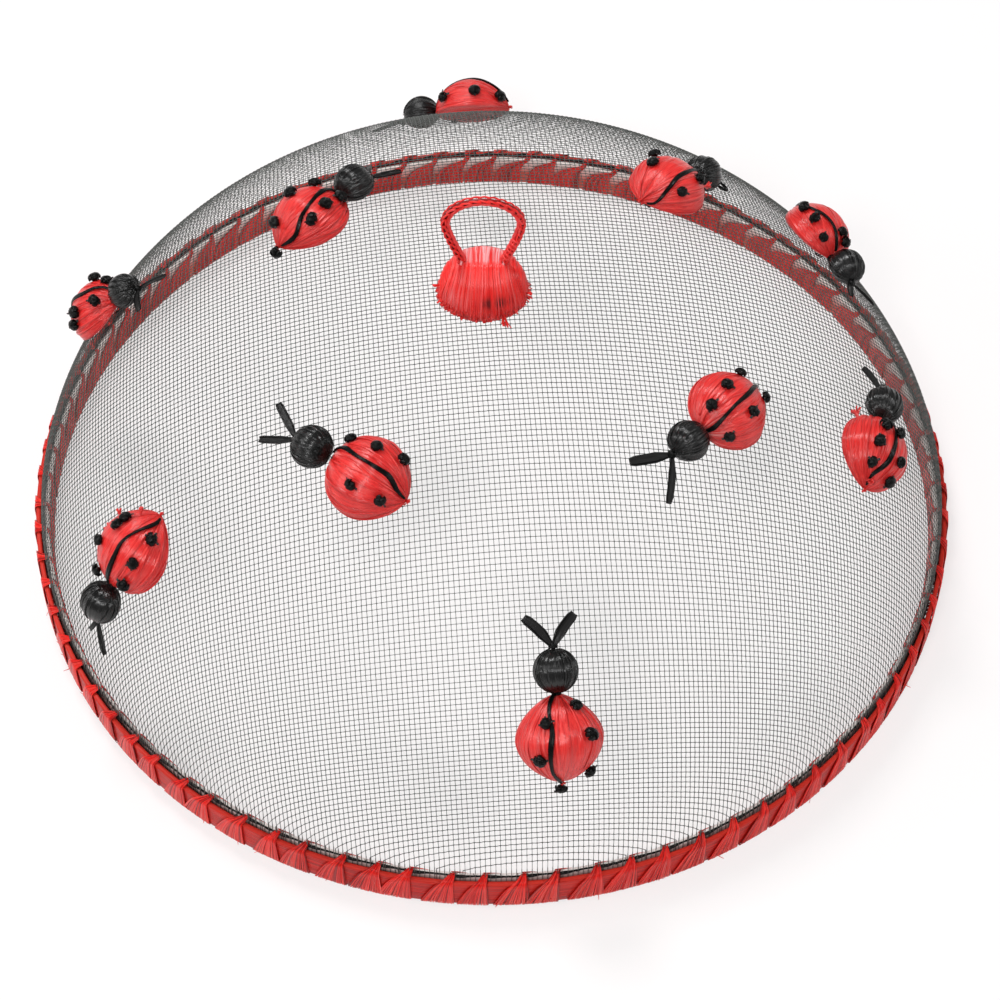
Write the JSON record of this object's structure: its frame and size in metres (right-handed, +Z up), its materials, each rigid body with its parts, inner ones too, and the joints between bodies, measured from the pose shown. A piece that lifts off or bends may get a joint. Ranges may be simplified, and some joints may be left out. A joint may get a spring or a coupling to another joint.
{
  "type": "food cover",
  "caption": "Domed mesh food cover with a raffia-whipped bamboo rim, a wound raffia knob with a crocheted carrying loop, and raffia ladybirds sewn over the netting.",
  "frame": {"origin": "centre of the rim's underside, on the table that the cover stands on", "axes": "+Z up through the dome, -Y towards the pictured front, +X to the right seen from the front"},
  "size_m": [0.3, 0.3041, 0.1463],
  "materials": {
    "screen": "woven monofilament, dark grey, slightly satin",
    "bamboo": "split strip stained red, satin",
    "red_raffia": "flat synthetic raffia strands, satin sheen",
    "black_raffia": "flat synthetic raffia strands, satin sheen"
  },
  "bodies": {
    "cover": {"rim_binding": "red_raffia", "outer_hoop": "bamboo", "inner_hoop": "bamboo", "net": "screen", "net_hem": "screen", "knob": "red_raffia", "knob_tie": "red_raffia", "ladybird_01_body": "red_raffia", "ladybird_01_stitching": "black_raffia", "ladybird_01_head": "black_raffia", "ladybird_01_antennae": "black_raffia", "ladybird_02_body": "red_raffia", "ladybird_02_stitching": "black_raffia", "ladybird_02_head": "black_raffia", "ladybird_02_antennae": "black_raffia", "ladybird_03_body": "red_raffia", "ladybird_03_stitching": "black_raffia", "ladybird_03_head": "black_raffia", "ladybird_03_antennae": "black_raffia", "ladybird_04_body": "red_raffia", "ladybird_04_stitching": "black_raffia", "ladybird_04_head": "black_raffia", "ladybird_04_antennae": "black_raffia", "ladybird_05_body": "red_raffia", "ladybird_05_stitching": "black_raffia", "ladybird_05_head": "black_raffia", "ladybird_05_antennae": "black_raffia", "ladybird_06_body": "red_raffia", "ladybird_06_stitching": "black_raffia", "ladybird_06_head": "black_raffia", "ladybird_06_antennae": "black_raffia", "ladybird_07_body": "red_raffia", "ladybird_07_stitching": "black_raffia", "ladybird_07_head": "black_raffia", "ladybird_07_antennae": "black_raffia", "ladybird_08_body": "red_raffia", "ladybird_08_stitching": "black_raffia", "ladybird_08_head": "black_raffia", "ladybird_08_antennae": "black_raffia", "ladybird_09_body": "red_raffia", "ladybird_09_stitching": "black_raffia", "ladybird_09_head": "black_raffia", "ladybird_09_antennae": "black_raffia", "ladybird_10_body": "red_raffia", "ladybird_10_stitching": "black_raffia", "ladybird_10_head": "black_raffia", "ladybird_10_antennae": "black_raffia"},
    "loop": {"handle_loop": "red_raffia"}
  },
  "joints": [
    {"name": "loop_fold", "type": "hinge", "parent": "cover", "child": "loop", "pos_m": [-0.003, 0.003, 0.12008], "axis": [1, 0, 0], "range_deg": [-83, 87]}
  ]
}
